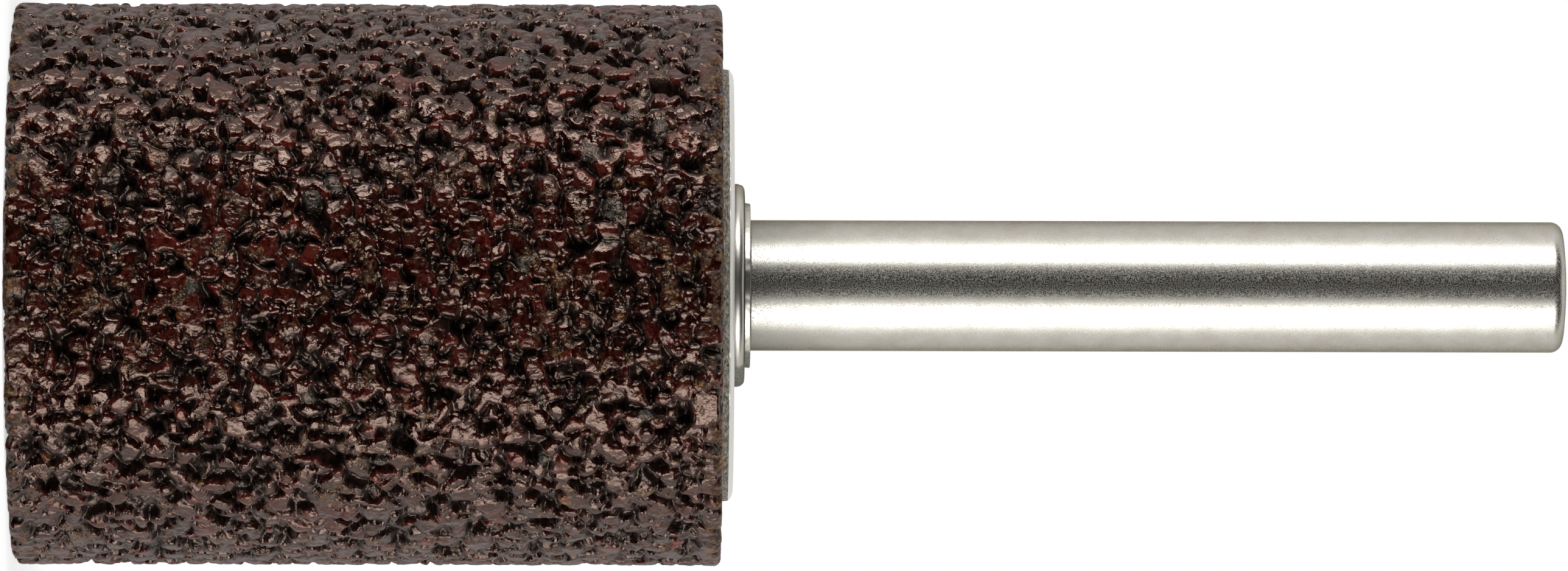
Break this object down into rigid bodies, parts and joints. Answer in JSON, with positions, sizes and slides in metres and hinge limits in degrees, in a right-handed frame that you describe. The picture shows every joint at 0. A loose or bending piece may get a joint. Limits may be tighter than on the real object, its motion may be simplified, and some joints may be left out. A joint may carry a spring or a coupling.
{
  "type": "mounted abrasive drum",
  "caption": "Coarse resin-bonded abrasive cylinder moulded on a plain steel shank, with a backing washer and collar at the shank side.",
  "frame": {"origin": "centre of the abrasive drum's free end face", "axes": "+Z along the shank, from the drum's free end to the shank's tip"},
  "size_m": [0.0258, 0.0258, 0.0712],
  "materials": {
    "abrasive": "coarse grains in glossy dark red-brown resin, with open pores",
    "washer_steel": "blanked steel, rough at the sheared edge",
    "shank_steel": "tumbled and plated, finely pitted",
    "cement": "cured cement"
  },
  "bodies": {
    "root": {"abrasive_drum": "abrasive", "backing_washer": "washer_steel", "shank": "shank_steel", "shank_cement": "cement"}
  },
  "joints": []
}
